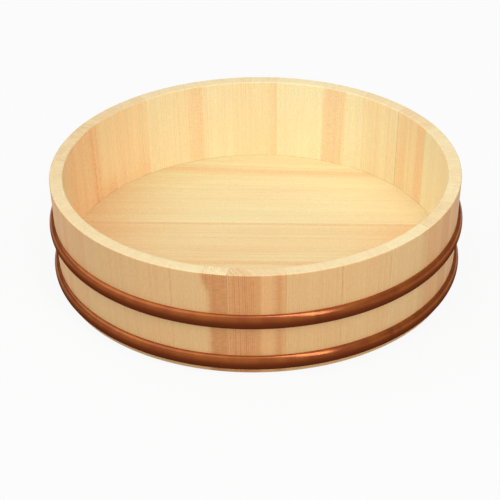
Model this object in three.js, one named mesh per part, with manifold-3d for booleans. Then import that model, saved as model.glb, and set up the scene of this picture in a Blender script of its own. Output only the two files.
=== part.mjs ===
// Sushi rice tub: a round wooden tub of bevelled staves, held by two copper hoops,
// with a raised floor of boards that sits in a groove cut around the inside of the staves.
// Sizes are in millimetres and angles in degrees. +Z is up, and the origin is on the tub's
// axis, on the surface that it stands on. Azimuth 0 is the front (-Y), 90 is the right (+X).

import * as THREE from 'three';
import { mergeVertices } from 'three/addons/utils/BufferGeometryUtils.js';
import Module from 'manifold-3d';

const wasm = await Module();
wasm.setup();

// Wall of the tub
const RIM_DIAMETER = 420;
const FOOT_DIAMETER = 410.8;
const TUB_HEIGHT = 112;
const WALL_THICKNESS = 13.6;
const RIM_EASING = 1.2;
const FOOT_EASING = 1;

// Staves that make the wall
const STAVE_COUNT = 24;
const STAVE_FACETS = 3;
const FIRST_STAVE_AZIMUTH = -0.1;
const STAVE_CLEARANCE = 0.3;

// Floor of boards, and the croze groove in the staves that holds its tongue
const FLOOR_HEIGHT = 21.5;
const FLOOR_THICKNESS = 14;
const BOARD_COUNT = 5;
const BOARD_WIDTH = 77;
const BOARD_CLEARANCE = 0.3;
const FLOOR_TURN = -2.6;
const TONGUE_THICKNESS = 9;
const TONGUE_LENGTH = 4.5;
const TONGUE_BEVEL_RUN = 16;
const CROZE_CLEARANCE = 0.3;

// Bamboo pins that hold stave to stave and board to board
const STAVE_PIN_DIAMETER = 4.5;
const STAVE_PIN_LENGTH = 26;
const STAVE_PIN_HEIGHT = 70;
const FLOOR_PIN_DIAMETER = 5;
const FLOOR_PIN_LENGTH = 36;
const PIN_POINT_LENGTH = 4;
const PIN_SIDES = 8;
const PIN_CLEARANCE = 0.3;

// Hoops of half-round rolled copper, driven up the tapered wall from the foot
const HOOP_WIDTH = 15.6;
const HOOP_PROUD = 5.2;
const HOOP_SHEET = 1;
const UPPER_HOOP_HEIGHT = 60;
const LOWER_HOOP_HEIGHT = 12.6;
const HOOP_CLEARANCE = 0.3;
const HOOP_OUTER_STEPS = 8;
const HOOP_INNER_STEPS = 5;

// How far a cutting solid runs past what it cuts, and how close points are welded
const CUT_MARGIN = 5;
const WELD_DISTANCE = 1e-4;

// Finishes
const SAPWOOD = { color: '#e6c893', roughness: 0.62, metalness: 0 };
const TAN_WOOD = { color: '#dcb880', roughness: 0.62, metalness: 0 };
const HEARTWOOD = { color: '#d29e66', roughness: 0.62, metalness: 0 };
const FLOOR_WOOD = { color: '#ebcb92', roughness: 0.62, metalness: 0 };
const BAMBOO = { color: '#c8a45f', roughness: 0.5, metalness: 0 };
const COPPER = { color: '#a0562a', roughness: 0.34, metalness: 1 };
const STAVE_WOODS = [HEARTWOOD, TAN_WOOD, TAN_WOOD, SAPWOOD, SAPWOOD];

const ROUND_FACETS = STAVE_COUNT * STAVE_FACETS;
const STAVE_HALF_ANGLE = 180 / STAVE_COUNT;
const FLOOR_MID_HEIGHT = FLOOR_HEIGHT - FLOOR_THICKNESS / 2;

// Radii of the tapered wall at a height above the foot
function outerRadius(height) {
  return THREE.MathUtils.lerp(FOOT_DIAMETER, RIM_DIAMETER, height / TUB_HEIGHT) / 2;
}

function innerRadius(height) {
  return outerRadius(height) - WALL_THICKNESS;
}

function middleRadius(height) {
  return outerRadius(height) - WALL_THICKNESS / 2;
}

// The tongue's edge and the bottom of the croze are both upright, one clearance apart.
const TONGUE_RADIUS = innerRadius(FLOOR_HEIGHT) + TONGUE_LENGTH;
const TONGUE_BOTTOM = FLOOR_HEIGHT - TONGUE_THICKNESS;
const CROZE_RADIUS = TONGUE_RADIUS + CROZE_CLEARANCE;
const CROZE_TOP = FLOOR_HEIGHT + CROZE_CLEARANCE;
const CROZE_BOTTOM = TONGUE_BOTTOM - CROZE_CLEARANCE;

// Booleans: geometry to solid, and solid back to geometry
function toSolid(geometry) {
  const bare = geometry.clone();
  bare.deleteAttribute('normal');
  bare.deleteAttribute('uv');
  const welded = mergeVertices(bare, WELD_DISTANCE);
  const index = welded.index.array;
  const corners = [];
  for (let i = 0; i < index.length; i += 3) {
    const [a, b, c] = index.slice(i, i + 3);
    if (a !== b && b !== c && c !== a) {
      corners.push(a, b, c);
    }
  }
  const vertProperties = Float32Array.from(welded.attributes.position.array);
  const triVerts = Uint32Array.from(corners);
  return new wasm.Manifold(new wasm.Mesh({ numProp: 3, vertProperties, triVerts }));
}

function toGeometry(solid) {
  const mesh = solid.getMesh();
  const geometry = new THREE.BufferGeometry();
  geometry.setAttribute('position', new THREE.BufferAttribute(mesh.vertProperties, 3));
  geometry.setIndex(new THREE.BufferAttribute(mesh.triVerts, 1));
  geometry.computeVertexNormals();
  return geometry;
}

// A body of revolution about +Z, with the facets' edges on the joints between the staves
function turned(profile) {
  const points = profile.map(([radius, height]) => new THREE.Vector2(radius, height));
  const start = THREE.MathUtils.degToRad(FIRST_STAVE_AZIMUTH + STAVE_HALF_ANGLE);
  return new THREE.LatheGeometry(points, ROUND_FACETS, start).rotateX(Math.PI / 2);
}

function named(name, geometry, finish) {
  const mesh = new THREE.Mesh(geometry, new THREE.MeshStandardMaterial(finish));
  mesh.name = name;
  return mesh;
}

function padded(number) {
  return String(number).padStart(2, '0');
}

// Wall: the closed section of the staves, turned into one ring
function wallRing() {
  return toSolid(turned([
    [outerRadius(0) - FOOT_EASING, 0],
    [outerRadius(FOOT_EASING), FOOT_EASING],
    [outerRadius(TUB_HEIGHT - RIM_EASING), TUB_HEIGHT - RIM_EASING],
    [outerRadius(TUB_HEIGHT) - RIM_EASING, TUB_HEIGHT],
    [innerRadius(TUB_HEIGHT) + RIM_EASING, TUB_HEIGHT],
    [innerRadius(TUB_HEIGHT - RIM_EASING), TUB_HEIGHT - RIM_EASING],
    [innerRadius(CROZE_TOP), CROZE_TOP],
    [CROZE_RADIUS, CROZE_TOP],
    [CROZE_RADIUS, CROZE_BOTTOM],
    [innerRadius(CROZE_BOTTOM), CROZE_BOTTOM],
    [innerRadius(FOOT_EASING), FOOT_EASING],
    [innerRadius(0) + FOOT_EASING, 0],
    [outerRadius(0) - FOOT_EASING, 0],
  ]));
}

// The slice of the ring that is one stave: its sides lie half a clearance inside the joints
function staveSlice() {
  const halfAngle = THREE.MathUtils.degToRad(STAVE_HALF_ANGLE);
  const apex = STAVE_CLEARANCE / 2 / Math.sin(halfAngle);
  const reach = RIM_DIAMETER;
  const side = reach * Math.sin(halfAngle);
  const depth = apex + reach * Math.cos(halfAngle);
  const outline = new THREE.Shape([
    new THREE.Vector2(0, -apex),
    new THREE.Vector2(-side, -depth),
    new THREE.Vector2(side, -depth),
  ]);
  const height = TUB_HEIGHT + 2 * CUT_MARGIN;
  const slice = new THREE.ExtrudeGeometry(outline, { depth: height, bevelEnabled: false });
  slice.translate(0, 0, -CUT_MARGIN);
  slice.rotateZ(THREE.MathUtils.degToRad(FIRST_STAVE_AZIMUTH));
  return toSolid(slice);
}

// A pin sharpened at both ends, lying along X, or the blind hole for it if it has a clearance
function pinAlongX(diameter, length, clearance) {
  const radius = diameter / 2 + clearance;
  const half = length / 2 + clearance;
  const shoulder = length / 2 - PIN_POINT_LENGTH;
  const points = [[0, -half], [radius, -shoulder], [radius, shoulder], [0, half]];
  const profile = points.map(([x, y]) => new THREE.Vector2(x, y));
  return new THREE.LatheGeometry(profile, PIN_SIDES).rotateZ(-Math.PI / 2);
}

// A stave pin lies across the joint at azimuth 0, in the middle of the wall.
function stavePin(clearance) {
  const pin = pinAlongX(STAVE_PIN_DIAMETER, STAVE_PIN_LENGTH, clearance);
  return pin.translate(0, -middleRadius(STAVE_PIN_HEIGHT), STAVE_PIN_HEIGHT);
}

function jointAzimuth(number) {
  return FIRST_STAVE_AZIMUTH + (2 * number - 1) * STAVE_HALF_ANGLE;
}

function stave() {
  let solid = wallRing().intersect(staveSlice());
  for (const joint of [0, 1]) {
    const hole = stavePin(PIN_CLEARANCE);
    hole.rotateZ(THREE.MathUtils.degToRad(jointAzimuth(joint)));
    solid = solid.subtract(toSolid(hole));
  }
  return toGeometry(solid);
}

// Staves and their pins, each turned to its place: number 1 is at the front
function wall() {
  const group = new THREE.Group();
  const staveShape = stave();
  const pinShape = stavePin(0);
  for (let number = 1; number <= STAVE_COUNT; number += 1) {
    const wood = STAVE_WOODS[(number - 1) % STAVE_WOODS.length];
    const piece = named(`stave_${padded(number)}`, staveShape, wood);
    piece.rotation.z = THREE.MathUtils.degToRad(2 * (number - 1) * STAVE_HALF_ANGLE);
    const pin = named(`stave_pin_${padded(number)}`, pinShape, BAMBOO);
    pin.rotation.z = THREE.MathUtils.degToRad(jointAzimuth(number));
    group.add(piece, pin);
  }
  return group;
}

// Floor: one round of boards, thinned under its edge to a tongue that fits the croze
function floorRound() {
  const tongueRoot = TONGUE_RADIUS - TONGUE_LENGTH - CROZE_CLEARANCE;
  const underside = FLOOR_HEIGHT - FLOOR_THICKNESS;
  return toSolid(turned([
    [0, underside],
    [tongueRoot - TONGUE_BEVEL_RUN, underside],
    [tongueRoot, TONGUE_BOTTOM],
    [TONGUE_RADIUS, TONGUE_BOTTOM],
    [TONGUE_RADIUS, FLOOR_HEIGHT],
    [0, FLOOR_HEIGHT],
  ]));
}

// The seams run along the boards' length, numbered from the front, half of them each side of the axis.
function seamOffset(number) {
  return (number - BOARD_COUNT / 2) * BOARD_WIDTH;
}

function floorTurned(geometry) {
  return geometry.rotateZ(THREE.MathUtils.degToRad(FLOOR_TURN));
}

// The strip of the round that is one board. The outermost two run past the round's edge.
function boardStrip(number) {
  const isFirst = number === 1;
  const isLast = number === BOARD_COUNT;
  const front = isFirst ? -RIM_DIAMETER : seamOffset(number - 1) + BOARD_CLEARANCE / 2;
  const back = isLast ? RIM_DIAMETER : seamOffset(number) - BOARD_CLEARANCE / 2;
  const strip = new THREE.BoxGeometry(RIM_DIAMETER, back - front, TUB_HEIGHT);
  strip.translate(0, (front + back) / 2, FLOOR_MID_HEIGHT);
  return toSolid(floorTurned(strip));
}

// A floor pin lies across a seam, half way down the boards.
function floorPin(seam, clearance) {
  const pin = pinAlongX(FLOOR_PIN_DIAMETER, FLOOR_PIN_LENGTH, clearance).rotateZ(Math.PI / 2);
  return floorTurned(pin.translate(0, seamOffset(seam), FLOOR_MID_HEIGHT));
}

function floor() {
  const group = new THREE.Group();
  const round = floorRound();
  for (let number = 1; number <= BOARD_COUNT; number += 1) {
    let solid = round.intersect(boardStrip(number));
    for (const seam of [number - 1, number]) {
      if (seam > 0 && seam < BOARD_COUNT) {
        solid = solid.subtract(toSolid(floorPin(seam, PIN_CLEARANCE)));
      }
    }
    group.add(named(`floor_board_${number}`, toGeometry(solid), FLOOR_WOOD));
  }
  for (let seam = 1; seam < BOARD_COUNT; seam += 1) {
    group.add(named(`floor_pin_${seam}`, floorPin(seam, 0), BAMBOO));
  }
  return group;
}

// Half an ellipse standing on the tapered wall, from its lower edge to its upper one
function hoopArc(height, halfWidth, proud, steps) {
  const points = [];
  for (let step = 0; step <= steps; step += 1) {
    const angle = Math.PI * (step / steps - 1 / 2);
    const level = height + halfWidth * Math.sin(angle);
    points.push([outerRadius(level) + HOOP_CLEARANCE + proud * Math.cos(angle), level]);
  }
  return points;
}

// A hoop is rolled sheet: round outside, hollow behind, bearing on the staves with its two edges.
function hoop(name, height) {
  const outside = hoopArc(height, HOOP_WIDTH / 2, HOOP_PROUD, HOOP_OUTER_STEPS);
  const inside = hoopArc(height, HOOP_WIDTH / 2 - HOOP_SHEET, HOOP_PROUD - HOOP_SHEET, HOOP_INNER_STEPS);
  const section = [...outside, ...inside.reverse(), outside[0]];
  return named(name, turned(section), COPPER);
}

const tub = new THREE.Group();
tub.add(wall(), floor());
tub.add(hoop('upper_hoop', UPPER_HOOP_HEIGHT), hoop('lower_hoop', LOWER_HOOP_HEIGHT));

export default tub;
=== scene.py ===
"""Looks of the sushi rice tub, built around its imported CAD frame.

Lengths are metres in the frame's own axes: Z up from the foot, the front at -Y. An azimuth is
measured from the front towards +X, so a point lies at (r sin a, -r cos a).
"""

import logging
import math
from collections.abc import Callable, Sequence
from dataclasses import dataclass
from enum import Enum
from functools import partial
from typing import Any

import bmesh
import bpy
import numpy as np
from bpy.types import ColorRamp, Light, Material, Mesh, Node, NodeSocket, NodeTree, Object
from mathutils import Matrix, Vector


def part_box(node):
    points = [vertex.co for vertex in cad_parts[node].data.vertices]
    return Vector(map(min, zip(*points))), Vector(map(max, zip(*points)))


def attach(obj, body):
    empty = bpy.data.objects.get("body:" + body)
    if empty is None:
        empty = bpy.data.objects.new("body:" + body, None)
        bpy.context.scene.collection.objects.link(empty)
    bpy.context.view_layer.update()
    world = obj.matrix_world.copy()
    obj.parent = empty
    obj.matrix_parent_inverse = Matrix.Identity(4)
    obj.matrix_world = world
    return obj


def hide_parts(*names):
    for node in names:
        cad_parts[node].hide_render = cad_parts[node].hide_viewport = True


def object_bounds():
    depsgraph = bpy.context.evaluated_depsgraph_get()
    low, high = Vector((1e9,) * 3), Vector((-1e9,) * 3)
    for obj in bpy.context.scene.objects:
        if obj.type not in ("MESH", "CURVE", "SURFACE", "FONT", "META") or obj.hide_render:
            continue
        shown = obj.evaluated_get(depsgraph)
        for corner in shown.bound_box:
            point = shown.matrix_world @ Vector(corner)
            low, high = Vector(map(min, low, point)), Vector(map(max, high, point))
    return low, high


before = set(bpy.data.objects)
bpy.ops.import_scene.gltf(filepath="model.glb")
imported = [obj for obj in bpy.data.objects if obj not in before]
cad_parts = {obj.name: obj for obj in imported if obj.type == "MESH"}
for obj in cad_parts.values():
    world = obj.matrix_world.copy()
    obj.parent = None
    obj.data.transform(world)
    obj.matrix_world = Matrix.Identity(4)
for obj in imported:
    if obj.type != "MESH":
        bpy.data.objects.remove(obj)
CAD_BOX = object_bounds()

LOG = logging.getLogger("rice_tub")
BODY = "root"
MM = 0.001
# The rings of every piece are drawn as if its middle lay this far from the pith of its log.
LOG_RADIUS = 0.22
# Pieces are cut this far apart along the log, so that no two share a pattern.
LOG_STEP = 3.7
UNIT = (0.0, 1.0)
# Most values of a noise lie between these.
NOISE_SPAN = (0.3, 0.7)
# Points nearer than this are one point.
WELD = 0.001 * MM
WHITE = "#FFFFFF"

# Kinds of node: type names, some with settings.
ATTRIBUTE = "ShaderNodeAttribute"
BUMP = "ShaderNodeBump"
JOIN = "ShaderNodeCombineXYZ"
MAP_RANGE = "ShaderNodeMapRange"
MATH = "ShaderNodeMath"
MIX = "ShaderNodeMix"
NOISE = "ShaderNodeTexNoise"
PLACE = "ShaderNodeTexCoord"
RAMP = "ShaderNodeValToRGB"
SPLIT = "ShaderNodeSeparateXYZ"
VECTOR_MATH = "ShaderNodeVectorMath"
ABSOLUTE, ADD, MAXIMUM, MULTIPLY, MULTIPLY_ADD, SUBTRACT = (
    (MATH, {"operation": name})
    for name in ("ABSOLUTE", "ADD", "MAXIMUM", "MULTIPLY", "MULTIPLY_ADD", "SUBTRACT")
)
BLEND = (MIX, {"data_type": "RGBA"})
SMOOTH_RANGE = (MAP_RANGE, {"interpolation_type": "SMOOTHSTEP"})

Point = tuple[float, float]
Stops = tuple[tuple[float, float], ...]
Kind = str | tuple[str, dict[str, Any]]
Adder = Callable[..., Node]


class Slot(Enum):
    """The record's material slots of the pieces that are made anew."""

    STAVE = "stave_wood"
    FLOOR = "floor_wood"
    COPPER = "copper"


class HoopPlace(Enum):
    """The two hoops, by the CAD node that each stands for."""

    UPPER = "upper_hoop"
    LOWER = "lower_hoop"


def linear(hex_colour: str) -> tuple[float, float, float, float]:
    """Turn an sRGB hex value into a linear colour.

    Args:
        hex_colour: A value such as "#C08040".

    Returns:
        Linear red, green and blue, with an alpha of 1.
    """
    digits = hex_colour.lstrip("#")
    channels = [int(digits[i : i + 2], 16) / 255 for i in (0, 2, 4)]
    red, green, blue = (c / 12.92 if c <= 0.04045 else ((c + 0.055) / 1.055) ** 2.4 for c in channels)
    return red, green, blue, 1.0


def feed(node: Node, inputs: dict[int | str, Any]) -> None:
    """Set or link a node's inputs.

    Args:
        node: The node.
        inputs: A value, a socket, or a node whose result is linked, for each input by its name
            or by its place among the inputs in use.
    """
    in_use = [socket for socket in node.inputs if socket.enabled]
    for key, value in inputs.items():
        socket = in_use[key] if isinstance(key, int) else node.inputs[key]
        if isinstance(value, Node):
            value = next(output for output in value.outputs if output.enabled)
        if isinstance(value, NodeSocket):
            node.id_data.links.new(value, socket)
        else:
            socket.default_value = value


def add_node(
    tree: NodeTree, kind: Kind, inputs: dict[int | str, Any] | None = None, **settings: Any
) -> Node:
    """Add a node to a tree with its settings, values and links.

    Args:
        tree: The tree that gets the node.
        kind: The node's type name, or the name with settings.
        inputs: What feed() gives to its inputs.
        **settings: Further properties of the node itself.

    Returns:
        The new node.
    """
    type_name, always = (kind, {}) if isinstance(kind, str) else kind
    node = tree.nodes.new(type_name)
    for name, value in {**always, **settings}.items():
        setattr(node, name, value)
    feed(node, inputs or {})
    return node


def set_stops(ramp: ColorRamp, stops: Stops) -> None:
    """Give a new ramp its grey stops.

    Args:
        ramp: A ramp that still has its first two stops.
        stops: Place and level of each stop, in order.
    """
    ramp.elements.remove(ramp.elements[1])
    for place, level in stops[1:]:
        ramp.elements.new(place).color = (level, level, level, 1.0)
    place, level = stops[0]
    ramp.elements[0].position = place
    ramp.elements[0].color = (level, level, level, 1.0)


def span(source: Sequence[Any] = UNIT, result: Sequence[Any] = UNIT) -> dict[str, Any]:
    """Name the limits of a Map Range node.

    Args:
        source: The lower and upper limit of what is mapped.
        result: What these become.

    Returns:
        The node's inputs for them.
    """
    return dict(zip(("From Min", "From Max", "To Min", "To Max"), (*source, *result)))


def new_material(name: str) -> tuple[Material, Adder, Node]:
    """Make a node material.

    Args:
        name: The material's name.

    Returns:
        The material, a function that adds nodes to it, and its Principled shader.
    """
    material = bpy.data.materials.new(name)
    material.use_nodes = True
    tree = material.node_tree
    return material, partial(add_node, tree), tree.nodes["Principled BSDF"]


def store(mesh: Mesh, name: str, values: np.ndarray, domain: str = "POINT") -> None:
    """Write an attribute on a mesh.

    Args:
        mesh: The mesh that gets it.
        name: The attribute's name, as materials read it.
        values: One number or one vector for each element.
        domain: POINT or FACE.
    """
    kind, key = ("FLOAT", "value") if values.ndim == 1 else ("FLOAT_VECTOR", "vector")
    attribute = mesh.attributes.new(name, kind, domain)
    attribute.data.foreach_set(key, np.ascontiguousarray(values, np.float32).ravel())


def vectors_of(elements: Any, key: str) -> np.ndarray:
    """Read a vector from each element of a mesh.

    Args:
        elements: The mesh's vertices or faces.
        key: The vector's name.

    Returns:
        Its x, y and z, each as a row.
    """
    values = np.empty(len(elements) * 3, np.float32)
    elements.foreach_get(key, values)
    return values.reshape(-1, 3).astype(float).T


def link(name: str, mesh: Mesh) -> Object:
    """Put a mesh into the scene.

    Args:
        name: The new object's name.
        mesh: Its mesh.

    Returns:
        The object, at the origin.
    """
    piece = bpy.data.objects.new(name, mesh)
    bpy.context.scene.collection.objects.link(piece)
    return piece


def show(name: str, shape: bmesh.types.BMesh, *materials: Material) -> Object:
    """Put a drawn shape into the scene as a new object, and free the drawing.

    Args:
        name: The object's name.
        shape: The drawn shape.
        *materials: What its faces are made of.

    Returns:
        The object.
    """
    mesh = bpy.data.meshes.new(name)
    shape.to_mesh(mesh)
    shape.free()
    for material in materials:
        mesh.materials.append(material)
    return link(name, mesh)


def settle(piece: Object) -> None:
    """Turn an object's modifiers into a plain mesh and remove them.

    Args:
        piece: The object.
    """
    graph = bpy.context.evaluated_depsgraph_get()
    made = bpy.data.meshes.new_from_object(
        piece.evaluated_get(graph), preserve_all_data_layers=True, depsgraph=graph
    )
    piece.modifiers.clear()
    rough = piece.data
    made.name = piece.name
    piece.data = made
    bpy.data.meshes.remove(rough)


def hand_over(piece: Object, slot: Slot, *nodes: str) -> None:
    """Tie a finished piece to the frame.

    Args:
        piece: The finished object.
        slot: Not used.
        *nodes: The CAD nodes that it stands for.
    """
    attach(piece, BODY)
    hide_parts(*nodes)
    LOG.info("%s: %d faces", piece.name, len(piece.data.polygons))


def rounded(corners: list[tuple[Point, float]], steps: int) -> list[Point]:
    """Round the corners of a closed outline.

    Args:
        corners: Each corner with the length that its rounding takes off both sides.
        steps: Straight steps in each rounding.

    Returns:
        The points of the outline, in the same order.
    """
    outline: list[Point] = []
    for i, (corner, easing) in enumerate(corners):
        here = Vector(corner)
        if not easing:
            outline.append(corner)
            continue
        before = here + (Vector(corners[i - 1][0]) - here).normalized() * easing
        after = here + (Vector(corners[(i + 1) % len(corners)][0]) - here).normalized() * easing
        for step in range(steps + 1):
            t = step / steps
            bend = before * (1 - t) ** 2 + here * 2 * t * (1 - t) + after * t**2
            outline.append((bend.x, bend.y))
    return outline


@dataclass(frozen=True)
class Band:
    """A redder streak that follows the rings of a piece of wood.

    Its place, half width, softness and flare towards the rim are millimetres. Its redness, and how
    much clearer the rings are within it, go from 0 to 1.
    """

    centre: float
    half_width: float
    redness: float
    lines: float = 0.0
    softness: float = 1.5
    flare: float = 0.0


NO_BAND = Band(0.0, 1.0, 0.0)


@dataclass(frozen=True)
class Cut:
    """How one piece was sawn from its log.

    The tone goes from 0, pale, to 1, tan. The lines say how clearly the rings show. The ring spacing
    is millimetres, the lean of the rings degrees, and their drift a slope along the piece. The ends
    say how much redder the lower and the upper end are drawn, partly a painted shade near the
    left wall and partly the wood's own colour, and the joint dark how much darker one joint is drawn.
    """

    tone: float = 0.35
    lines: float = 0.35
    spacing: float = 2.2
    lean: float = 0.0
    drift: float = 0.0
    band: Band = NO_BAND
    stripe: Band = NO_BAND
    ends: tuple[float, float] = (0.0, 0.0)
    joint_dark: float = 0.0

    def write(self, mesh: Mesh, middle_depth: float, log_place: float) -> None:
        """Store the cut on a mesh for the wood to read.

        Args:
            mesh: The piece's finished mesh.
            middle_depth: Depth of the piece's middle under its outer face, in metres.
            log_place: Where along the log the piece was cut, in metres.
        """
        lean = math.radians(self.lean)
        pith = (
            self.drift * log_place - LOG_RADIUS * math.cos(lean),
            middle_depth - LOG_RADIUS * math.sin(lean),
            self.drift,
        )
        figure = (self.tone, self.lines, self.spacing * MM)
        vectors = {"cut": pith, "figure": figure, "ends": (*self.ends, self.joint_dark)}
        for name, band in (("band", self.band), ("stripe", self.stripe)):
            vectors[name] = (band.centre * MM, band.half_width * MM, band.redness)
            vectors[name + "_edge"] = (band.softness * MM, band.lines, band.flare * MM)
        for name, vector in vectors.items():
            rows = np.tile(np.array(vector), (len(mesh.vertices), 1))
            store(mesh, name, rows)


@dataclass(frozen=True)
class Pattern:
    """A noise that runs with the grain: its size in millimetres and how much it changes."""

    across: float
    along: float
    strength: float
    detail: float = 2.0

    def lay(self, add: Adder, grain_at: NodeSocket) -> Node:
        """Add the noise to a material.

        Args:
            add: Adds nodes to the material.
            grain_at: The place in the log.

        Returns:
            A node that gives values from -strength to strength.
        """
        size = (self.across * MM, self.across * MM, self.along * MM)
        scaled = add(VECTOR_MATH, {0: grain_at, 1: size}, operation="DIVIDE")
        noise = add(NOISE, {"Vector": scaled, "Scale": 1.0, "Detail": self.detail})
        return add(MAP_RANGE, {"Value": noise, **span(result=(-self.strength, self.strength))})


@dataclass(frozen=True)
class PlanedCypress:
    """Straight-grained cypress, planed and left bare.

    Quarter-sawn rings show as fine straight lines, darker and redder at the late wood, on a pale
    ground. The outside is drawn darker and tanner, a painted shade, and the inside paler, a painted
    light. The cut ends across the rim are drawn paler, a painted light from above, with the rings
    clearer. The plane leaves a soft, almost matt face.
    """

    name: str
    # The outside colours are a painted shade and the inside colours a painted light: one wood, drawn
    # darker and tanner outside, paler inside.
    pale_outside_shaded: str = "#E7C085"
    tan_outside_shaded: str = "#EAB376"
    red_outside_shaded: str = "#CF894C"
    pale_inside_lit: str = "#FBF2C4"
    tan_inside_lit: str = "#FCDBA6"
    red_inside_lit: str = "#F9C590"
    late_wood: str = "#D58E45"
    # The end colours, on faces across the rim and the foot, are paler: a painted light from above.
    pale_end_lit: str = "#EEDDAE"
    tan_end_lit: str = "#E6CB9B"
    roughness: tuple[float, float] = (0.5, 0.66)
    ior: float = 1.5
    relief: float = 0.48 * MM
    bump: float = 0.5
    # How high late wood stands, beside fibres.
    ring_height: float = 0.1
    wander: Pattern = Pattern(30, 140, 1.2 * MM, 1)
    fray: Pattern = Pattern(3, 5, 1.6 * MM)
    blotch: Pattern = Pattern(22, 110, 0.35)
    streak: Pattern = Pattern(2.8, 160, 0.06)
    # Real fibres are about 0.03 mm wide. They are drawn 0.8 mm wide so that they show.
    fibre: Pattern = Pattern(0.8, 9, 0.12)
    fleck: Pattern = Pattern(1.7, 2.4, 0.1, 1)
    ripple: Pattern = Pattern(7, 1.5, 0.28, 1)
    # How dark a ring is on its way from one late wood to the next.
    ring_stops: Stops = ((0.0, 0.0), (0.4, 0.12), (0.82, 1.0), (0.93, 0.8), (1.0, 0.0))
    ring_unevenness: float = 1.3
    ring_patch: float = 6.0 * MM
    ring_strength: tuple[float, float] = (0.1, 0.75)
    end_contrast: float = 0.5
    # Where a flare starts and is full, from 0 at the middle of a piece to 1 at its upper end.
    flare_reach: tuple[float, float] = (0.52, 1.0)
    # Where a piece is drawn redder towards its ends, counted in the same way; partly a painted shade
    # near the left wall.
    end_red_reach: tuple[float, float] = (0.05, 0.62)
    # Where one joint is drawn darker, across the stave from its middle.
    joint_dark_reach: tuple[float, float] = (26.5 * MM, 27.3 * MM)

    def material(self) -> Material:
        """Build the wood.

        Returns:
            The material, which reads the attributes that Cut and the pieces store.
        """
        material, add, shader = new_material(self.name)
        grain_at, cut, figure, ends = (
            add(ATTRIBUTE, attribute_name=name).outputs["Vector"]
            for name in ("grain_at", "cut", "figure", "ends")
        )
        inside, end = (
            add(ATTRIBUTE, attribute_name=name).outputs["Fac"] for name in ("inside", "end_grain")
        )
        tone, lines, spacing = add(SPLIT, {0: figure}).outputs
        ring_at = self.ring_coordinate(add, grain_at, cut)
        redness, line_level = self.bands(add, grain_at, ring_at, lines, ends)
        line = self.rings(add, ring_at, spacing)

        blotch = self.blotch.lay(add, grain_at)
        tanned = add(ADD, {0: tone, 1: blotch}, use_clamp=True)
        # Inside colours are painted light and outside colours painted shade of one wood.
        grounds = [
            add(BLEND, {0: inside, 1: linear(out), 2: linear(within)})
            for out, within in (
                (self.pale_outside_shaded, self.pale_inside_lit),
                (self.tan_outside_shaded, self.tan_inside_lit),
                (self.red_outside_shaded, self.red_inside_lit),
            )
        ]
        ground = add(BLEND, {0: tanned, 1: grounds[0], 2: grounds[1]})
        ground = add(BLEND, {0: redness, 1: ground, 2: grounds[2]})
        # End grain is drawn paler, a painted light from above.
        lit_cut_end = add(BLEND, {0: tanned, 1: linear(self.pale_end_lit), 2: linear(self.tan_end_lit)})
        ground = add(BLEND, {0: end, 1: ground, 2: lit_cut_end})
        clearer = add(MULTIPLY_ADD, {0: end, 1: self.end_contrast, 2: 1.0})
        line_level = add(MULTIPLY, {0: line_level, 1: clearer})
        drawn = add(MULTIPLY, {0: line, 1: line_level}, use_clamp=True)
        lined = add(BLEND, {0: drawn, 1: ground, 2: linear(self.late_wood)}, blend_type="MULTIPLY")

        fibre = self.fibre.lay(add, grain_at)
        ripple = self.ripple.lay(add, grain_at)
        shade = add(MULTIPLY_ADD, {0: ripple, 1: redness, 2: 1.0})
        across = add(SPLIT, {0: grain_at}).outputs[0]
        # Drawn darker along one joint.
        joint_dark = add(SPLIT, {0: ends}).outputs[2]
        joint_darkening = add(MAP_RANGE, {"Value": across, **span(self.joint_dark_reach, (0.0, -1.0))})
        joint_darkening = add(MULTIPLY, {0: joint_darkening, 1: joint_dark})
        for change in (self.streak.lay(add, grain_at), self.fleck.lay(add, grain_at), fibre, joint_darkening):
            shade = add(ADD, {0: shade, 1: change})
        colour = add(VECTOR_MATH, {0: lined, "Scale": shade}, operation="SCALE")
        limits = (-self.fibre.strength, self.fibre.strength)
        rough = add(MAP_RANGE, {"Value": fibre, **span(limits, self.roughness)})
        height = add(MULTIPLY_ADD, {0: drawn, 1: self.ring_height, 2: fibre})
        bump = add(BUMP, {"Strength": self.bump, "Distance": self.relief, "Height": height})
        looks = {"Base Color": colour, "Roughness": rough, "Normal": bump, "IOR": self.ior}
        feed(shader, looks)
        return material

    def ring_coordinate(self, add: Adder, grain_at: NodeSocket, cut: NodeSocket) -> Node:
        """Work out how far each point lies from the log's pith.

        Args:
            add: Adds nodes to the material.
            grain_at: The place in the log.
            cut: The pith's place, and how the rings drift along the piece.

        Returns:
            A node that gives the distance in metres, 0 at the middle of the piece.
        """
        across, depth, along = add(SPLIT, {0: grain_at}).outputs
        pith_across, pith_depth, drift = add(SPLIT, {0: cut}).outputs
        wander = self.wander.lay(add, grain_at)
        drifted = add(MULTIPLY_ADD, {0: along, 1: drift, 2: across})
        wandered = add(ADD, {0: wander, 1: drifted})
        point = add(JOIN, {0: wandered, 1: depth})
        pith = add(JOIN, {0: pith_across, 1: pith_depth})
        from_pith = add(VECTOR_MATH, {0: point, 1: pith}, operation="DISTANCE")
        return add(SUBTRACT, {0: from_pith, 1: LOG_RADIUS})

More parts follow.
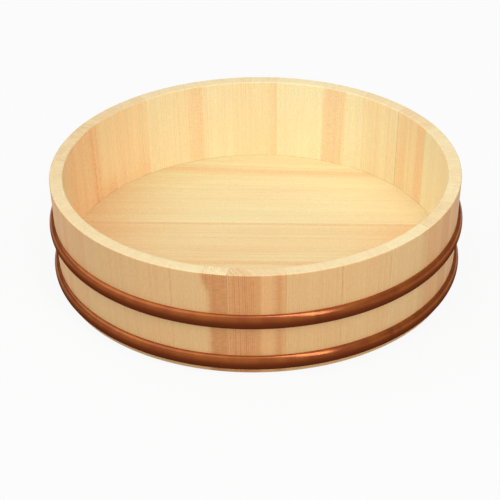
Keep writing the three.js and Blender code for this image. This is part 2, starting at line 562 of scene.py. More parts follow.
    def rings(self, add: Adder, ring_at: Node, spacing: NodeSocket) -> Node:
        """Draw the growth rings.

        Args:
            add: Adds nodes to the material.
            ring_at: The ring coordinate.
            spacing: The mean width of a ring.

        Returns:
            A node that gives 1 at strong late wood and 0 at early wood.
        """
        patches = {"W": ring_at, "Scale": 1 / self.ring_patch, "Detail": 1.0}
        uneven = add(NOISE, patches, noise_dimensions="1D")
        counted = add(MATH, {0: ring_at, 1: spacing}, operation="DIVIDE")
        count = add(MULTIPLY_ADD, {0: uneven, 1: self.ring_unevenness, 2: counted})
        through = add(MATH, {0: count}, operation="FRACT")
        number = add(MATH, {0: count}, operation="FLOOR")
        late = add(RAMP, {0: through})
        late.color_ramp.interpolation = "EASE"
        set_stops(late.color_ramp, self.ring_stops)
        draw = add("ShaderNodeTexWhiteNoise", {"W": number}, noise_dimensions="1D")
        strength = add(MAP_RANGE, {"Value": draw, **span(result=self.ring_strength)})
        return add(MULTIPLY, {0: late, 1: strength})

    def bands(
        self, add: Adder, grain_at: NodeSocket, ring_at: Node, lines: NodeSocket, ends: NodeSocket
    ) -> tuple[Node, Node]:
        """Lay a piece's redder streaks.

        Args:
            add: Adds nodes to the material.
            grain_at: The place in the log.
            ring_at: The ring coordinate.
            lines: How clearly the rings show outside the streaks.
            ends: How much redder the lower and the upper end are drawn, partly a painted shade.

        Returns:
            Nodes that give the redness, and how clearly the rings show.
        """
        reach = add(ATTRIBUTE, attribute_name="reach").outputs["Fac"]
        low_end, high_end, _ = add(SPLIT, {0: ends}).outputs
        # Redder towards the lower and the upper end: partly a painted shade near the left wall, partly
        # the wood's own colour.
        near_rim, high_end_red, low_end_red = (
            add(SMOOTH_RANGE, {"Value": reach, **span(limits)})
            for limits in (self.flare_reach, self.end_red_reach, [-x for x in self.end_red_reach])
        )
        low_end_redness = add(MULTIPLY, {0: low_end_red, 1: low_end})
        fray = self.fray.lay(add, grain_at)
        frayed = add(ADD, {0: ring_at, 1: fray})
        redness: Any = add(MULTIPLY_ADD, {0: high_end_red, 1: high_end, 2: low_end_redness})
        level: Any = lines
        for name in ("band", "stripe"):
            (centre, half, red), (softness, extra, flare) = (
                add(SPLIT, {0: add(ATTRIBUTE, attribute_name=word).outputs["Vector"]}).outputs
                for word in (name, name + "_edge")
            )
            grown = add(MULTIPLY, {0: near_rim, 1: flare})
            middle = add(SUBTRACT, {0: centre, 1: grown})
            extent = add(ADD, {0: half, 1: grown})
            offset = add(SUBTRACT, {0: frayed, 1: middle})
            away = add(ABSOLUTE, {0: offset})
            full = add(SUBTRACT, {0: extent, 1: softness})
            gone = add(ADD, {0: extent, 1: softness})
            within = add(SMOOTH_RANGE, {"Value": away, **span((full, gone), (1.0, 0.0))})
            level = add(MULTIPLY_ADD, {0: within, 1: extra, 2: level})
            redder = add(MULTIPLY, {0: within, 1: red})
            redness = add(MAXIMUM, {0: redness, 1: redder})
        return redness, level


@dataclass(frozen=True)
class RolledCopper:
    """Half-round copper strip, rolled and browned.

    A satin metal with a long soft gleam and faint lines along the hoop. Towards its upper edge it
    is more metallic and orange, under a trace of lacquer. Towards its lower edge it is less metallic
    and drawn darker brown, a painted shade for the dim reflection under the hoop, and the brazed
    ends are stained.
    """

    name: str = "rolled_copper_browned"
    bright: str = "#AC6028"
    brown: str = "#964A20"
    # The darker brown drawn towards the hoop's lower edge, a painted shade.
    underside_shade: str = "#642D18"
    stained: str = "#5A2714"
    edge: str = "#D0B8A8"
    # How far the painted shade below is lifted, how metallic and how lacquered the metal is, from the
    # hoop's lower edge at 0 to its upper edge at 1.
    unshaded: Stops = ((0.0, 0.0), (0.4, 0.05), (0.55, 0.16), (0.7, 0.5), (0.8, 0.8), (0.9, 1.0))
    metal_share: Stops = (
        (0.0, 0.0), (0.55, 0.02), (0.7, 0.1), (0.8, 0.34), (0.88, 0.56), (0.95, 0.56), (1.0, 0.4)
    )
    lacquer: Stops = ((0.7, 0.0), (0.84, 0.42), (1.0, 0.38))
    lacquer_roughness: float = 0.2
    roughness: tuple[float, float] = (0.17, 0.23)
    mottle: float = 18.0 * MM
    line: tuple[float, float, float] = (0.5, 0.5, 1.1 * MM)
    relief: float = 0.05 * MM
    bump: float = 0.25
    stain_reach: tuple[float, float] = (0.8 * MM, 5.0 * MM)
    stain_strength: float = 0.35

    def material(self) -> Material:
        """Build the copper.

        Returns:
            The material, which reads the attributes that a hoop stores.
        """
        material, add, shader = new_material(self.name)
        place = add(PLACE).outputs["Object"]
        across, seam = (
            add(ATTRIBUTE, attribute_name=name).outputs["Fac"] for name in ("across", "seam")
        )
        mottle = add(NOISE, {"Vector": place, "Scale": 1 / self.mottle, "Detail": 3.0})
        stretched = add(VECTOR_MATH, {0: place, 1: self.line}, operation="DIVIDE")
        lines = add(NOISE, {"Vector": stretched, "Scale": 1.0, "Detail": 2.0})
        worn = add(MAP_RANGE, {"Value": mottle, **span(NOISE_SPAN)})
        body = add(BLEND, {0: worn, 1: linear(self.bright), 2: linear(self.brown)})
        share = add(MAP_RANGE, {"Value": across, "From Min": -1.0})
        unshaded, metal_share, lacquer = (add(RAMP, {0: share}) for _ in range(3))
        for ramp, stops in ((unshaded, self.unshaded), (metal_share, self.metal_share), (lacquer, self.lacquer)):
            set_stops(ramp.color_ramp, stops)
        # Blend towards the darker brown at the lower edge: a painted shade.
        browned_and_shaded = add(BLEND, {0: unshaded, 1: linear(self.underside_shade), 2: body})
        stain = add(SMOOTH_RANGE, {"Value": seam, **span(self.stain_reach, (self.stain_strength, 0.0))})
        colour = add(BLEND, {0: stain, 1: browned_and_shaded, 2: linear(self.stained)})
        rough = add(MAP_RANGE, {"Value": lines, **span(NOISE_SPAN, self.roughness)})
        bump = add(BUMP, {"Strength": self.bump, "Distance": self.relief, "Height": lines})
        feed(shader, {"Base Color": colour, "Roughness": rough, "Normal": bump, "Metallic": metal_share})
        feed(shader, {"Specular IOR Level": 0.0, "Specular Tint": linear(self.edge)})
        feed(shader, {"Coat Weight": lacquer, "Coat Roughness": self.lacquer_roughness})
        return material


@dataclass(frozen=True)
class SplitBamboo:
    """Pins split from bamboo and whittled round: straight straw-coloured fibres, matt."""

    name: str = "split_bamboo_whittled"
    straw: str = "#D9BE83"
    fibre: str = "#B08D50"
    fibre_width: float = 0.6 * MM
    roughness: tuple[float, float] = (0.5, 0.7)
    relief: float = 0.1 * MM
    bump: float = 0.3

    def material(self) -> Material:
        """Build the bamboo.

        Returns:
            The material.
        """
        material, add, shader = new_material(self.name)
        place = add(PLACE).outputs["Object"]
        scale = 1 / self.fibre_width
        noise = add(NOISE, {"Vector": place, "Scale": scale, "Detail": 2.0})
        colour = add(BLEND, {0: noise, 1: linear(self.straw), 2: linear(self.fibre)})
        rough = add(MAP_RANGE, {"Value": noise, **span(result=self.roughness)})
        bump = add(BUMP, {"Strength": self.bump, "Distance": self.relief, "Height": noise})
        feed(shader, {"Base Color": colour, "Roughness": rough, "Normal": bump})
        return material


@dataclass(frozen=True)
class TubShape:
    """The tapered wall that staves, floor and hoops share."""

    height: float
    rim_radius: float = 210.0 * MM
    foot_radius: float = 205.4 * MM
    wall: float = 13.6 * MM

    def outer(self, height: Any) -> Any:
        """Give the outer radius at a height, or at each height of an array."""
        share = height / self.height
        return self.foot_radius + (self.rim_radius - self.foot_radius) * share

    def inner(self, height: float) -> float:
        """Give the inner radius at a height."""
        return self.outer(height) - self.wall


@dataclass(frozen=True)
class Joinery:
    """The fine work that ends a wooden piece: eased edges, and blind holes for the CAD pins."""

    easing: float
    easing_steps: int = 2
    # Edges that turn more than this, in degrees, are eased.
    sharpest: float = 40.0
    play: float = 0.15 * MM
    # How much broad faces count for the normals, so that they look flat beside fine bevels.
    broad_weight: int = 100

    def finish(self, piece: Object, pins: list[str]) -> None:
        """Ease a piece's edges, bore its holes and turn it into a plain mesh.

        Args:
            piece: The piece.
            pins: The CAD nodes of its pins.
        """
        bevel = piece.modifiers.new("eased edges", "BEVEL")
        bevel.width = self.easing
        bevel.segments = self.easing_steps
        bevel.limit_method = "ANGLE"
        bevel.angle_limit = math.radians(self.sharpest)
        bevel.use_clamp_overlap = False
        cutter = self.cutter(pins)
        bore = piece.modifiers.new("pin holes", "BOOLEAN")
        bore.operation = "DIFFERENCE"
        bore.solver = "MANIFOLD"
        bore.object = cutter
        piece.modifiers.new("broad faces", "WEIGHTED_NORMAL").weight = self.broad_weight
        settle(piece)
        bpy.data.objects.remove(cutter)

    def cutter(self, pins: list[str]) -> Object:
        """Make what bores the holes.

        Args:
            pins: The CAD nodes of the pins.

        Returns:
            An object in their shape, with a little play.
        """
        shape = bmesh.new()
        for pin in pins:
            shape.from_mesh(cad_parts[pin].data)
        bmesh.ops.remove_doubles(shape, verts=shape.verts, dist=WELD)
        shape.normal_update()
        for vertex in shape.verts:
            vertex.co += vertex.normal * self.play
        return show("pin_cutter", shape)


def start_sweep(name: str, sizes: dict[str, str]) -> tuple[NodeTree, Adder, Any]:
    """Start a geometry tree that sweeps a section along a path.

    Args:
        name: The tree's name.
        sizes: The kind of each named input that other sweeps don't have.

    Returns:
        The tree, a function that adds nodes to it, and its inputs.
    """
    tree = bpy.data.node_groups.new(name, "GeometryNodeTree")
    shared = {"Section": "Geometry", "Resolution": "Int", "Radius": "Float", "Material": "Material"}
    for label, kind in {**shared, **sizes}.items():
        tree.interface.new_socket(name=label, in_out="INPUT", socket_type="NodeSocket" + kind)
    tree.interface.new_socket(name="Piece", in_out="OUTPUT", socket_type="NodeSocketGeometry")
    add = partial(add_node, tree)
    return tree, add, add("NodeGroupInput").outputs


def sweep_along(add: Adder, given: Any, path: Node, caps: bool) -> Node:
    """Sweep the section upright along a path.

    Args:
        add: Adds nodes to the sweep's tree.
        given: Its inputs.
        path: The node that gives the path.
        caps: Whether the ends are closed.

    Returns:
        The node that gives the swept mesh.
    """
    upright = add("GeometryNodeSetCurveNormal", {0: path}, mode="Z_UP")
    outline = add("GeometryNodeMeshToCurve", {0: given["Section"]})
    curves = {"Curve": upright, "Profile Curve": outline, "Fill Caps": caps}
    return add("GeometryNodeCurveToMesh", curves)


def end_sweep(add: Adder, given: Any, mesh: Node) -> None:
    """Realise a swept mesh, give it its material and end the tree with it.

    Args:
        add: Adds nodes to the sweep's tree.
        given: Its inputs.
        mesh: The node that gives the mesh.
    """
    real = add("GeometryNodeRealizeInstances", {0: mesh})
    finish = {"Geometry": real, "Material": given["Material"]}
    add("NodeGroupOutput", {0: add("GeometryNodeSetMaterial", finish)})


def swept_piece(name: str, tree: NodeTree, section: list[Point], sizes: dict[str, Any]) -> Object:
    """Make an object that sweeps a section.

    Args:
        name: The CAD node that the object stands for.
        tree: The sweep's tree.
        section: Points of radius and height, clockwise.
        sizes: The tree's inputs by name.

    Returns:
        The object, with the sweep as its modifier.
    """
    mesh = bpy.data.meshes.new(name + "_section")
    places = [(radius - sizes["Radius"], -height, 0.0) for radius, height in section]
    loop = [(i, (i + 1) % len(places)) for i in range(len(places))]
    mesh.from_pydata(places, loop, [])
    piece = link("looks_" + name, mesh)
    sweep = piece.modifiers.new("sweep", "NODES")
    sweep.node_group = tree
    keys = {item.name: item.identifier for item in tree.interface.items_tree}
    for label, value in sizes.items():
        sweep[keys[label]] = value
    return piece


@dataclass
class StaveWall:
    """The ring of bevelled staves, each swept from one section."""

    shape: TubShape
    wood: Material
    cuts: list[Cut]
    floor_top: float
    first_middle: float = -0.1
    seam_gap: float = 0.03 * MM
    arc_steps: int = 8
    rim_easing: float = 1.2 * MM
    foot_easing: float = 1.0 * MM
    easing_steps: int = 4
    groove_depth: float = 4.5 * MM
    groove_play: float = 0.12 * MM
    groove_height: float = 9.0 * MM
    # How upright a face's normal is where end grain starts to show and where it is full. End grain is
    # drawn paler, a painted light from above.
    end_normal: tuple[float, float] = (0.5, 0.9)
    joinery: Joinery = Joinery(0.12 * MM)

    def section(self) -> list[Point]:
        """Draw the wall's section.

        Returns:
            Points of radius and height, clockwise from the inner rim.
        """
        shape, top = self.shape, self.floor_top + self.groove_play
        low = self.floor_top - self.groove_height - self.groove_play
        groove = shape.inner(self.floor_top) + self.groove_depth + self.groove_play
        corners = [
            ((shape.inner(shape.height), shape.height), self.rim_easing),
            ((shape.outer(shape.height), shape.height), self.rim_easing),
            ((shape.outer(0), 0.0), self.foot_easing),
            ((shape.inner(0), 0.0), self.foot_easing),
            ((shape.inner(low), low), 0.0),
            ((groove, low), 0.0),
            ((groove, top), 0.0),
            ((shape.inner(top), top), 0.0),
        ]
        return rounded(corners, self.easing_steps)

    def sweep_tree(self) -> NodeTree:
        """Build the tree that sweeps a section along a stave's arc.

        Returns:
            A geometry tree with named inputs for the sizes.
        """
        angles = {"Start Angle": "Float", "Sweep Angle": "Float"}
        tree, add, given = start_sweep("stave_sweep", angles)
        sizes = {name: given[name] for name in ("Resolution", "Radius", *angles)}
        arc = add("GeometryNodeCurveArc", sizes)
        end_sweep(add, given, sweep_along(add, given, arc, caps=True))
        return tree

    def build(self) -> None:
        """Make every stave and tie it to its CAD node."""
        tree = self.sweep_tree()
        section = self.section()
        path_radius = self.shape.foot_radius
        count = len(self.cuts)
        step = 360 / count
        gap = math.degrees(self.seam_gap / path_radius)
        for index, cut in enumerate(self.cuts):
            number = index + 1
            name = f"stave_{number:02d}"
            before = index if index else count
            middle = self.first_middle + index * step
            sizes = {
                "Resolution": self.arc_steps + 1,
                "Radius": path_radius,
                "Start Angle": math.radians(middle - step / 2 + gap / 2 - 90),
                "Sweep Angle": math.radians(step - gap),
                "Material": self.wood,
            }
            piece = swept_piece(name, tree, section, sizes)
            self.joinery.finish(piece, [f"stave_pin_{k:02d}" for k in (number, before)])
            self.grain(piece.data, middle, index, cut)
            hand_over(piece, Slot.STAVE, name)

    def grain(self, mesh: Mesh, middle: float, index: int, cut: Cut) -> None:
        """Lay the grain along a stave.

        Args:
            mesh: The stave's finished mesh.
            middle: Azimuth of the stave's middle, in degrees.
            index: The stave's place in the ring, which picks its part of the log.
            cut: How the stave was sawn.
        """
        x, y, z = vectors_of(mesh.vertices, "co")
        turn = np.arctan2(x, -y) - math.radians(middle)
        turn = (turn + math.pi) % (2 * math.pi) - math.pi
        across = turn * self.shape.rim_radius
        depth = self.shape.outer(z) - np.hypot(x, y)
        log_place = index * LOG_STEP
        store(mesh, "grain_at", np.stack([across, depth, z + log_place], 1))
        store(mesh, "inside", np.clip(depth / self.shape.wall, 0, 1))
        store(mesh, "reach", z / self.shape.height * 2 - 1)
        upright = np.abs(vectors_of(mesh.polygons, "normal")[2])
        store(mesh, "end_grain", np.interp(upright, self.end_normal, (0, 1)), "FACE")
        cut.write(mesh, self.shape.wall / 2, log_place)


@dataclass
class FloorBoards:
    """Five boards that make the round floor, with a bevelled tongue for the staves' groove."""

    shape: TubShape
    wood: Material
    cuts: list[Cut]
    top: float
    thickness: float = 14.0 * MM
    board_width: float = 77.0 * MM
    seam_gap: float = 0.06 * MM
    turn: float = -2.6
    tongue_thickness: float = 9.0 * MM
    tongue_length: float = 4.5 * MM
    bevel_run: float = 16.0 * MM
    wall_gap: float = 0.3 * MM
    arc_steps: int = 40
    joinery: Joinery = Joinery(0.25 * MM)

    def outline(self, radius: float, low: float, high: float) -> list[Point]:
        """Draw the part of a disc between two seams.

        Args:
            radius: The disc's radius.
            low: The front seam's place across the floor.
            high: The back seam's place across the floor.

        Returns:
            Points along and across the floor, anticlockwise from the front right.
        """
        start = math.asin(max(low, -radius) / radius)
        stop = math.asin(min(high, radius) / radius)
        right = [start + (stop - start) * i / self.arc_steps for i in range(self.arc_steps + 1)]
        left = [math.pi - angle for angle in reversed(right)]
        if high > radius:
            left.pop(0)
        if low < -radius:
            left.pop()
        return [(radius * math.cos(a), radius * math.sin(a)) for a in right + left]

    def build(self) -> None:
        """Make every board and tie it to its CAD node."""
        count = len(self.cuts)
        root = self.shape.inner(self.top) - self.wall_gap
        tip = self.shape.inner(self.top) + self.tongue_length
        levels = [
            (tip, self.top),
            (tip, self.top - self.tongue_thickness),
            (root, self.top - self.tongue_thickness),
            (root - self.bevel_run, self.top - self.thickness),
        ]
        turned = Matrix.Rotation(math.radians(self.turn), 4, "Z")
        for index, cut in enumerate(self.cuts):
            number = index + 1
            name = f"floor_board_{number}"
            middle = (index - (count - 1) / 2) * self.board_width
            half = (self.board_width - self.seam_gap) / 2
            low = middle - half if index else -math.inf
            high = middle + half if number < count else math.inf
            shape = bmesh.new()
            rings = [
                [shape.verts.new((x, y, z)) for x, y in self.outline(r, low, high)] for r, z in levels
            ]
            shape.faces.new(rings[0])
            shape.faces.new(list(reversed(rings[-1])))
            for upper, lower in zip(rings, rings[1:]):
                for i in range(len(upper)):
                    j = (i + 1) % len(upper)
                    shape.faces.new((upper[i], lower[i], lower[j], upper[j]))
            bmesh.ops.remove_doubles(shape, verts=shape.verts, dist=WELD)
            bmesh.ops.recalc_face_normals(shape, faces=shape.faces)
            shape.transform(turned)
            piece = show("looks_" + name, shape, self.wood)
            pins = [f"floor_pin_{k}" for k in (index, number) if 0 < k < count]
            self.joinery.finish(piece, pins)
            self.grain(piece.data, middle, index, cut)
            hand_over(piece, Slot.FLOOR, name)

    def grain(self, mesh: Mesh, middle: float, index: int, cut: Cut) -> None:
        """Lay the grain along a board.

        Args:
            mesh: The board's finished mesh.
            middle: The board's middle, across the floor.
            index: The board's place, which picks its part of the log.
            cut: How the board was sawn.
        """
        x, y, z = vectors_of(mesh.vertices, "co")
        angle = math.radians(self.turn)
        along = x * math.cos(angle) + y * math.sin(angle)
        across = y * math.cos(angle) - x * math.sin(angle) - middle
        depth = self.top - z
        log_place = (index + 1) * LOG_STEP
        store(mesh, "grain_at", np.stack([across, depth, along + log_place], 1))
        store(mesh, "inside", np.clip(1 - depth / self.thickness, 0, 1))
        store(mesh, "reach", along / self.shape.inner(self.top))
        store(mesh, "end_grain", np.zeros(len(mesh.polygons)), "FACE")
        cut.write(mesh, self.thickness / 2, log_place)


@dataclass
class CopperHoop:
    """A half-round copper hoop, hollow behind, driven onto the tapered wall."""

    place: HoopPlace
    shape: TubShape
    copper: Material
    seam_azimuth: float
    width: float = 15.6 * MM
    proud: float = 5.2 * MM
    sheet: float = 1.0 * MM
    gap: float = 0.05 * MM
    steps_around: int = 720
    steps_across: int = 24
    seam_height: float = 0.1 * MM
    seam_width: float = 2.2 * MM
    sharpest: float = 60.0

    def section(self) -> tuple[list[Point], list[float]]:
        """Draw the rolled sheet's section.

        Returns:
            Points of radius and height, and how far across the hoop each lies, from -1 at its
            lower edge to 1 at its upper edge.
        """
        low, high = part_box(self.place.value)
        middle = (low.z + high.z) / 2
        half = self.width / 2
        points: list[Point] = []
        across: list[float] = []
        for shrink, sign in ((0.0, 1), (self.sheet, -1)):
            for step in range(self.steps_across + 1):
                angle = sign * (math.pi / 2 - math.pi * step / self.steps_across)
                height = middle + (half - shrink) * math.sin(angle)
                radius = self.shape.outer(height) + self.gap
                radius += (self.proud - shrink) * math.cos(angle)
                points.append((radius, height))
                across.append(math.sin(angle))
        return points, across

    def sweep_tree(self) -> NodeTree:
        """Build the tree that sweeps the section round the tub and raises the brazed seam.

        Returns:
            A geometry tree with named inputs for the sizes.
        """
        lengths = {"Seam Height": "Float", "Seam Width": "Float"}
        directions = {"Seam Tangent": "Vector", "Seam Radial": "Vector"}
        tree, add, given = start_sweep("hoop_sweep", {**lengths, **directions})
        sizes = {name: given[name] for name in ("Resolution", "Radius")}
        circle = add("GeometryNodeCurvePrimitiveCircle", sizes)
        swept = sweep_along(add, given, circle, caps=False)
        place = add("GeometryNodeInputPosition")
        aside, ahead = (
            add(VECTOR_MATH, {0: place, 1: given[name]}, operation="DOT_PRODUCT")
            for name in directions
        )
        distance = add(ABSOLUTE, {0: aside})
        behind = add(MATH, {0: ahead, 1: 0.0}, operation="LESS_THAN")
        from_seam = add(ADD, {0: distance, 1: behind})
        mark = {"Geometry": swept, "Name": "seam", "Value": from_seam}
        marked = add("GeometryNodeStoreNamedAttribute", mark)
        limits = span((0.0, given["Seam Width"]), (given["Seam Height"], 0.0))
        ridge = add(SMOOTH_RANGE, {"Value": from_seam, **limits})
        outward = add(VECTOR_MATH, {0: given["Seam Radial"], "Scale": ridge}, operation="SCALE")
        raised = add("GeometryNodeSetPosition", {"Geometry": marked, "Offset": outward})
        end_sweep(add, given, raised)
        return tree

    def build(self) -> None:
        """Make the hoop and tie it to its CAD node."""
        section, across = self.section()
        azimuth = math.radians(self.seam_azimuth)
        sizes = {
            "Resolution": self.steps_around,
            "Radius": self.shape.foot_radius,
            "Seam Height": self.seam_height,
            "Seam Width": self.seam_width,
            "Seam Tangent": (math.cos(azimuth), math.sin(azimuth), 0.0),
            "Seam Radial": (math.sin(azimuth), -math.cos(azimuth), 0.0),
            "Material": self.copper,
        }
        piece = swept_piece(self.place.value, self.sweep_tree(), section, sizes)
        store(piece.data, "across", np.array(across))
        settle(piece)
        piece.data.shade_smooth()
        piece.data.set_sharp_from_angle(angle=math.radians(self.sharpest))
        hand_over(piece, Slot.COPPER, self.place.value)


@dataclass
class BambooPins:
    """The pins hidden in the joints, whose CAD solids have the right shape."""

    bamboo: Material

    def dress(self) -> None:
        """Give every pin its bamboo."""
        for name, node in sorted(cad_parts.items()):
            if "_pin_" in name:
                node.data.materials.clear()
                node.data.materials.append(self.bamboo)
                LOG.info("%s: bamboo", name)


def direction_of(azimuth: float, elevation: float) -> Vector:
    """Give the unit vector towards an azimuth and elevation in degrees."""
    turn, rise = math.radians(azimuth), math.radians(elevation)
    return Vector((math.sin(turn) * math.cos(rise), -math.cos(turn) * math.cos(rise), math.sin(rise)))


@dataclass
class Lamp:
    """A light that looks at the tub from an azimuth and elevation in degrees."""

    name: str
    azimuth: float
    elevation: float
    distance: float

    def hang(self, kind: str) -> Light:
        """Hang the lamp.

        Args:
            kind: Blender's kind of light.

        Returns:
            The light, to be set.
        """
        light = bpy.data.lights.new(self.name, kind)
        lamp = bpy.data.objects.new(self.name, light)
        towards = direction_of(self.azimuth, self.elevation)
        lamp.location = towards * self.distance
        lamp.rotation_euler = towards.to_track_quat("Z", "Y").to_euler()
        bpy.context.scene.collection.objects.link(lamp)
        return light


@dataclass
class SoftLamp(Lamp):
    """A broad soft light far from the tub."""

    spread: float
    level: float

    def build(self) -> None:
        """Hang the lamp. A level of 1 lights a white face that looks at it to white."""
        light = self.hang("SUN")
        light.energy = math.pi * self.level
        light.angle = math.radians(self.spread)


@dataclass
class StripLamp(Lamp):
    """A tall softbox, which draws the gleam on the hoops."""

    width: float
    height: float
    radiance: float

    def build(self) -> None:
        """Hang the softbox. Seen in a perfect mirror, a radiance of 1 is white."""
        light = self.hang("AREA")
        light.shape = "RECTANGLE"
        light.size = self.width
        light.size_y = self.height
        light.energy = math.pi * self.width * self.height * self.radiance


@dataclass
class Studio:
    """Camera, pale floor and soft light."""

    target: Vector
    aim: tuple[float, float, float] = (-0.00668, 0.0, 0.01156)
    distance: float = 1.7549
    elevation: float = 30.219
    lens: float = 121.56
    sensor: float = 36.0
    roll: float = -0.904
    floor_radius: float = 14.0
    floor_segments: int = 96
    floor_gap: float = 0.1 * MM
    paper_tooth: float = 0.5 * MM
    paper_relief: float = 0.1 * MM
    paper_bump: float = 0.05
    floor_colour: str = "#C8C8C8"
    floor_glow: float = 0.91
    room: float = 0.13
    window: float = 0.56
    window_azimuth: float = -30.0
    window_elevation: float = 48.0
    lamps: tuple[SoftLamp | StripLamp, ...] = (
        SoftLamp("back_left", -102.0, 62.0, 3.0, 80.0, 0.425),
        StripLamp("front_right", 33.0, 49.0, 3.0, 0.58, 3.9, 7.0),
    )

    def build(self) -> None:
        """Set up everything that isn't the tub."""
        self.place_camera()
        self.lay_floor()
        self.light_dome()
        for lamp in self.lamps:
            lamp.build()
        bpy.context.scene.view_settings.view_transform = "Standard"

    def place_camera(self) -> None:
        """Stand the camera where the picture was taken from."""
        data = bpy.data.cameras.new("camera")
        data.lens = self.lens
        data.sensor_width = self.sensor
        camera = bpy.data.objects.new("camera", data)
        tilt = math.radians(self.elevation)
        place = self.target + self.distance * Vector((0.0, -math.cos(tilt), math.sin(tilt)))
        look = (Vector(self.aim) - place).to_track_quat("-Z", "Y").to_matrix().to_4x4()
        roll = Matrix.Rotation(math.radians(self.roll), 4, "Z")
        camera.matrix_world = Matrix.Translation(place) @ look @ roll
        bpy.context.scene.collection.objects.link(camera)
        bpy.context.scene.camera = camera

    def lay_floor(self) -> None:
        """Lay a round sheet of matt white paper under the tub, lifted towards white."""
        material, add, shader = new_material("matt_white_paper")
        place = add(PLACE).outputs["Object"]
        tooth = add(NOISE, {"Vector": place, "Scale": 1 / self.paper_tooth})
        raised = {"Strength": self.paper_bump, "Distance": self.paper_relief, "Height": tooth}
        feed(shader, {"Base Color": linear(self.floor_colour), "Normal": add(BUMP, raised)})
        feed(shader, {"Roughness": 1.0, "Specular IOR Level": 0.0})
        rays = add("ShaderNodeLightPath").outputs
        seen: Any = rays["Is Camera Ray"]
        for name in ("Is Glossy Ray", "Is Transmission Ray"):
            seen = add(MAXIMUM, {0: seen, 1: rays[name]})
        lift = add(MULTIPLY, {0: seen, 1: self.floor_glow})
        white = add("ShaderNodeEmission", {"Color": linear(WHITE), "Strength": 1.0})
        lifted = add("ShaderNodeMixShader", {0: lift, 1: shader, 2: white})
        feed(material.node_tree.nodes["Material Output"], {"Surface": lifted})
        shape = bmesh.new()
        just_under = Matrix.Translation((0.0, 0.0, -self.floor_gap))
        size = {"segments": self.floor_segments, "radius": self.floor_radius}
        bmesh.ops.create_circle(shape, cap_ends=True, matrix=just_under, **size)
        show("studio_floor", shape, material)

    def light_dome(self) -> None:
        """Light the room softly, most from a broad window above the front left."""
        world = bpy.data.worlds.new("soft_room")
        world.use_nodes = True
        add = partial(add_node, world.node_tree)
        direction = add(PLACE).outputs["Generated"]
        window = direction_of(self.window_azimuth, self.window_elevation)
        facing = add(VECTOR_MATH, {0: direction, 1: window}, operation="DOT_PRODUCT")
        levels = (self.room, self.room + self.window)
        level = add(SMOOTH_RANGE, {"Value": facing, **span(result=levels)})
        background = world.node_tree.nodes["Background"]
        feed(background, {"Color": linear(WHITE), "Strength": level})
        bpy.context.scene.world = world


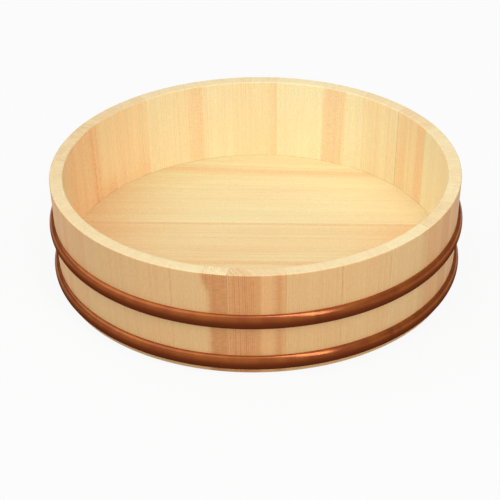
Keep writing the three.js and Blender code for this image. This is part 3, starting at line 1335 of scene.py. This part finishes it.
def stave_cuts() -> list[Cut]:
    """Choose how each stave was sawn, from the front stave round to the right.

    Each cut starts with its tone, lines, spacing and lean. Each band starts with its centre, half
    width and redness.

    Returns:
        One cut for each of the 24 staves.
    """
    return [
        Cut(
            1.0, 0.15, 1.6, 33,
            band=Band(-13.5, 13, 0.5, lines=0.75, softness=2.5),
            stripe=Band(14.8, 3.2, 0.55, softness=3.5),
        ),
        Cut(0.45, 0.25, 2.0, 10),
        Cut(0.35, 0.25, 2.2, -12),
        Cut(0.1, 0.25, 2.2, 8, band=Band(24, 8, 0.2, softness=2.5)),
        Cut(
            0.7, 0.3, 2.0, -8,
            band=Band(11, 11, 0.4, softness=3),
            stripe=Band(-15, 15, 0.22, softness=4),
        ),
        Cut(0.3, 0.25, 2.2, 14, band=Band(0, 40, 0.3)),
        Cut(0.3, 0.25, 2.4, -6),
        Cut(0.15, 0.3, 2.0, 8),
        Cut(0.7, 0.3, 2.2, 5, band=Band(-17, 9, 0.32, softness=3), joint_dark=0.4),
        Cut(0.35, 0.35, 1.8, -10),
        Cut(
            0.1, 0.2, 2.2, 6,
            drift=0.045,
            band=Band(17, 12, 0.42, softness=3),
            stripe=Band(4.5, 2.5, 0.5, softness=3.5),
        ),
        Cut(0.05, 0.12, 2.4, 12),
        Cut(0.4, 0.2, 2.0, -5, stripe=Band(-23, 5, 0.25, softness=3.5)),
        Cut(0.25, 0.25, 2.2, 8, band=Band(21, 12, 0.4, softness=4)),
        Cut(0.42, 0.25, 2.0, -12),
        # Staves 16 to 19 are tanner and redder, with redder lower ends: partly the wood's own colour,
        # partly a painted shade on the left inside wall.
        Cut(0.8, 0.35, 2.2, 6, ends=(0.25, 0.0)),
        Cut(
            0.8, 0.4, 2.0, 10,
            band=Band(15, 16, 0.45, lines=0.2, softness=5),
            stripe=Band(13, 6.5, 0.8, softness=5),
            ends=(0.65, 0.0),
        ),
        Cut(0.8, 0.35, 2.2, -8, band=Band(0, 40, 0.5), stripe=Band(8, 2, 0.9), ends=(0.5, 0.0)),
        Cut(0.7, 0.3, 2.2, 12, band=Band(0, 40, 0.35)),
        Cut(0.4, 0.25, 2.0, -6, band=Band(0, 40, 0.25)),
        Cut(0.5, 0.25, 2.2, 8, band=Band(-14, 6, 0.25, softness=4), stripe=Band(0, 40, 0.1)),
        Cut(0.3, 0.25, 2.2, -10),
        Cut(0.35, 0.25, 2.0, 5),
        Cut(0.3, 0.2, 2.2, 4, band=Band(18.5, 9.5, 0.8, lines=0.1, softness=3.5, flare=3.5)),
    ]


def board_cuts() -> list[Cut]:
    """Choose how each floor board was sawn, from the front to the back, as for the staves.

    Returns:
        One cut for each of the five boards.
    """
    return [
        # The redder board ends are partly a painted shade near the left wall, partly the wood's own
        # colour.
        Cut(0.4, 0.25, 2.2, 10, ends=(0.2, 0.2)),
        Cut(0.45, 0.25, 2.0, -15, band=Band(35.5, 3, 0.4), ends=(0.25, 0.3)),
        Cut(0.45, 0.4, 2.4, 20, band=Band(35.5, 3, 0.45, softness=2), ends=(0.3, 0.45)),
        Cut(0.15, 0.3, 2.2, -12, ends=(0.4, 0.12)),
        Cut(
            0.08, 0.3, 2.6, 25,
            drift=0.046,
            band=Band(-4, 5.5, 0.42, lines=0.4, softness=6),
            ends=(0.35, 0.1),
        ),
    ]


def main() -> None:
    """Build the tub's looks piece by piece."""
    logging.basicConfig(level=logging.INFO, format="%(message)s")
    shape = TubShape(height=CAD_BOX[1][2])
    Studio(target=Vector((0.0, 0.0, shape.height / 2))).build()
    floor_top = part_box("floor_board_3")[1].z
    stave_wood = PlanedCypress("planed_cypress_staves").material()
    floor_wood = PlanedCypress(
        "planed_cypress_floor",
        pale_inside_lit="#E4D5A2",
        tan_inside_lit="#E4BC87",
        red_inside_lit="#DFA56D",
        end_red_reach=(0.4, 0.98),
    ).material()
    copper = RolledCopper().material()
    StaveWall(shape, stave_wood, stave_cuts(), floor_top).build()
    FloorBoards(shape, floor_wood, board_cuts(), floor_top).build()
    CopperHoop(HoopPlace.UPPER, shape, copper, seam_azimuth=15.5).build()
    CopperHoop(HoopPlace.LOWER, shape, copper, seam_azimuth=38.0).build()
    BambooPins(SplitBamboo().material()).dress()


if __name__ == "__main__":
    main()
